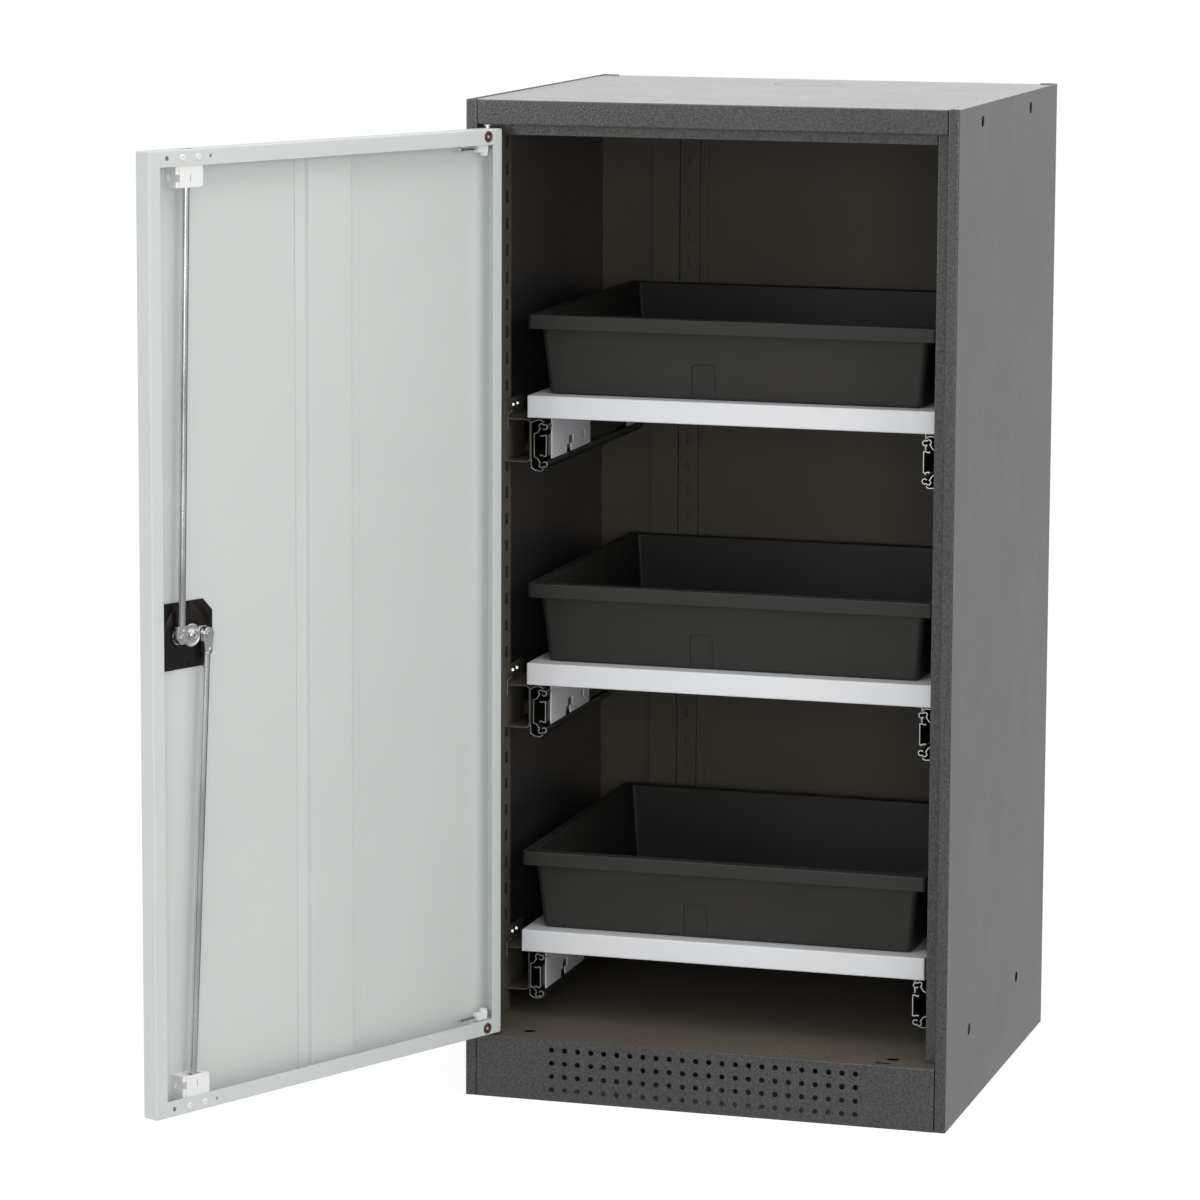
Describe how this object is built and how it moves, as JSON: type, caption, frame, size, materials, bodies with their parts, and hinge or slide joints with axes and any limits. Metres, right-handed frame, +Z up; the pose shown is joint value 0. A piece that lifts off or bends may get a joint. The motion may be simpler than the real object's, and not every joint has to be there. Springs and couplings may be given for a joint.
{
  "type": "reagent drawer cabinet",
  "caption": "Floor-standing steel cabinet with a hinged rod-locked door, full-extension drawers on ball slides and loose plastic tubs.",
  "frame": {"origin": "on the floor, under the centre of the cabinet", "axes": "+X to the right of someone facing the door opening, +Y to the back, +Z up"},
  "size_m": [0.7485, 0.9768, 1.105],
  "materials": {
    "body_paint": "fine hammered powder coat",
    "inner_paint": "powder coat",
    "zinc_plate": "bright zinc plating",
    "door_paint": "smooth powder coat",
    "black_plastic": "satin",
    "white_plastic": "satin",
    "brown_plastic": "satin",
    "polished_lock": "polished",
    "shelf_paint": "smooth powder coat",
    "tub_plastic": "fine grained polypropylene"
  },
  "bodies": {
    "carcass": {"side_left": "body_paint", "side_right": "body_paint", "back_panel": "inner_paint", "top_panel": "body_paint", "fascia": "body_paint", "top_stop_rail": "body_paint", "base_panel": "inner_paint", "plinth_panel": "body_paint", "plinth_frame": "inner_paint", "levelling_feet": "zinc_plate", "upright_front_left": "inner_paint", "upright_front_right": "inner_paint", "upright_rear_left": "inner_paint", "upright_rear_right": "inner_paint", "port_cap": "body_paint", "hinge_bushes": "zinc_plate", "rod_keepers": "black_plastic", "slide_brackets": "inner_paint", "bracket_bolts": "zinc_plate", "slides_fixed": "zinc_plate"},
    "door": {"door_panel": "door_paint", "door_stiffener": "door_paint", "lock_housing": "black_plastic", "handle_plate": "black_plastic", "rod_guide_upper": "white_plastic", "rod_guide_lower": "white_plastic", "guide_rivets": "white_plastic", "hinge_blocks": "white_plastic", "hinge_rivets": "brown_plastic"},
    "lock": {"lock_cam": "zinc_plate", "spindle_nut": "zinc_plate", "turning_handle": "black_plastic"},
    "key_cylinder": {"lock_cylinder": "polished_lock"},
    "upper_rod": {"rod_upper": "zinc_plate", "rod_upper_end": "zinc_plate"},
    "lower_rod": {"rod_lower": "zinc_plate", "rod_lower_end": "zinc_plate"},
    "upper_pin": {"hinge_pin_upper": "zinc_plate", "pull_grip_upper": "white_plastic"},
    "lower_pin": {"hinge_pin_lower": "zinc_plate", "pull_grip_lower": "white_plastic"},
    "drawer_low": {"shelf_low": "shelf_paint", "tub_low": "tub_plastic", "slide_inner_low": "zinc_plate"},
    "slide_mids_low": {"slide_mid_low": "zinc_plate"},
    "fixed_cages_low": {"cage_fixed_low": "zinc_plate"},
    "inner_cages_low": {"cage_inner_low": "zinc_plate"},
    "drawer_middle": {"shelf_middle": "shelf_paint", "tub_middle": "tub_plastic", "slide_inner_middle": "zinc_plate"},
    "slide_mids_middle": {"slide_mid_middle": "zinc_plate"},
    "fixed_cages_middle": {"cage_fixed_middle": "zinc_plate"},
    "inner_cages_middle": {"cage_inner_middle": "zinc_plate"},
    "drawer_top": {"shelf_top": "shelf_paint", "tub_top": "tub_plastic", "slide_inner_top": "zinc_plate"},
    "slide_mids_top": {"slide_mid_top": "zinc_plate"},
    "fixed_cages_top": {"cage_fixed_top": "zinc_plate"},
    "inner_cages_top": {"cage_inner_top": "zinc_plate"}
  },
  "joints": [
    {"name": "door_hinge", "type": "hinge", "parent": "carcass", "child": "door", "pos_m": [-0.2495, -0.255, 0.573], "axis": [0, 0, -1], "range_deg": [-116, 6]},
    {"name": "lock_turn", "type": "hinge", "parent": "door", "child": "lock", "pos_m": [-0.43629, -0.65622, 0.573], "axis": [-0.8988, 0.4384, 0], "range_deg": [0, 90]},
    {"name": "key_turn", "type": "hinge", "parent": "lock", "child": "key_cylinder", "pos_m": [-0.46595, -0.64176, 0.573], "axis": [-0.8988, 0.4384, 0], "range_deg": [0, 90]},
    {"name": "upper_rod_pivot", "type": "hinge", "parent": "lock", "child": "upper_rod", "pos_m": [-0.44418, -0.6724, 0.573], "axis": [-0.8988, 0.4384, 0], "range_deg": [-93, 0]},
    {"name": "lower_rod_pivot", "type": "hinge", "parent": "lock", "child": "lower_rod", "pos_m": [-0.4284, -0.64004, 0.573], "axis": [-0.8988, 0.4384, 0], "range_deg": [-93, 0]},
    {"name": "upper_pin_pull", "type": "slide", "parent": "door", "child": "upper_pin", "axis": [0, 0, -1], "range_m": [0, 0.009], "stiffness_N_per_m": 400, "springref_m": -0.006},
    {"name": "lower_pin_pull", "type": "slide", "parent": "door", "child": "lower_pin", "axis": [0, 0, 1], "range_m": [0, 0.009], "stiffness_N_per_m": 400, "springref_m": -0.006},
    {"name": "drawer_low_slide", "type": "slide", "parent": "carcass", "child": "drawer_low", "axis": [0, -1, 0], "range_m": [-0.0165, 0.3735]},
    {"name": "slide_mids_low_run", "type": "slide", "parent": "carcass", "child": "slide_mids_low", "axis": [0, -1, 0], "range_m": [-0.00845, 0.18695]},
    {"name": "fixed_cages_low_run", "type": "slide", "parent": "carcass", "child": "fixed_cages_low", "axis": [0, -1, 0], "range_m": [-0.00432, 0.09358]},
    {"name": "inner_cages_low_run", "type": "slide", "parent": "carcass", "child": "inner_cages_low", "axis": [0, -1, 0], "range_m": [-0.01258, 0.28032]},
    {"name": "drawer_middle_slide", "type": "slide", "parent": "carcass", "child": "drawer_middle", "axis": [0, -1, 0], "range_m": [0, 0.39]},
    {"name": "slide_mids_middle_run", "type": "slide", "parent": "carcass", "child": "slide_mids_middle", "axis": [0, -1, 0], "range_m": [-0.0002, 0.1952]},
    {"name": "fixed_cages_middle_run", "type": "slide", "parent": "carcass", "child": "fixed_cages_middle", "axis": [0, -1, 0], "range_m": [-0.0002, 0.0977]},
    {"name": "inner_cages_middle_run", "type": "slide", "parent": "carcass", "child": "inner_cages_middle", "axis": [0, -1, 0], "range_m": [-0.0002, 0.2927]},
    {"name": "drawer_top_slide", "type": "slide", "parent": "carcass", "child": "drawer_top", "axis": [0, -1, 0], "range_m": [0, 0.39]},
    {"name": "slide_mids_top_run", "type": "slide", "parent": "carcass", "child": "slide_mids_top", "axis": [0, -1, 0], "range_m": [-0.0002, 0.1952]},
    {"name": "fixed_cages_top_run", "type": "slide", "parent": "carcass", "child": "fixed_cages_top", "axis": [0, -1, 0], "range_m": [-0.0002, 0.0977]},
    {"name": "inner_cages_top_run", "type": "slide", "parent": "carcass", "child": "inner_cages_top", "axis": [0, -1, 0], "range_m": [-0.0002, 0.2927]}
  ],
  "couplings": [
    {"joint": "upper_rod_pivot", "follows": "lock_turn", "ratio": -1.0246},
    {"joint": "lower_rod_pivot", "follows": "lock_turn", "ratio": -1.0239},
    {"joint": "slide_mids_low_run", "follows": "drawer_low_slide", "ratio": 0.5},
    {"joint": "fixed_cages_low_run", "follows": "drawer_low_slide", "ratio": 0.25},
    {"joint": "inner_cages_low_run", "follows": "drawer_low_slide", "ratio": 0.75},
    {"joint": "slide_mids_middle_run", "follows": "drawer_middle_slide", "ratio": 0.5},
    {"joint": "fixed_cages_middle_run", "follows": "drawer_middle_slide", "ratio": 0.25},
    {"joint": "inner_cages_middle_run", "follows": "drawer_middle_slide", "ratio": 0.75},
    {"joint": "slide_mids_top_run", "follows": "drawer_top_slide", "ratio": 0.5},
    {"joint": "fixed_cages_top_run", "follows": "drawer_top_slide", "ratio": 0.25},
    {"joint": "inner_cages_top_run", "follows": "drawer_top_slide", "ratio": 0.75}
  ]
}
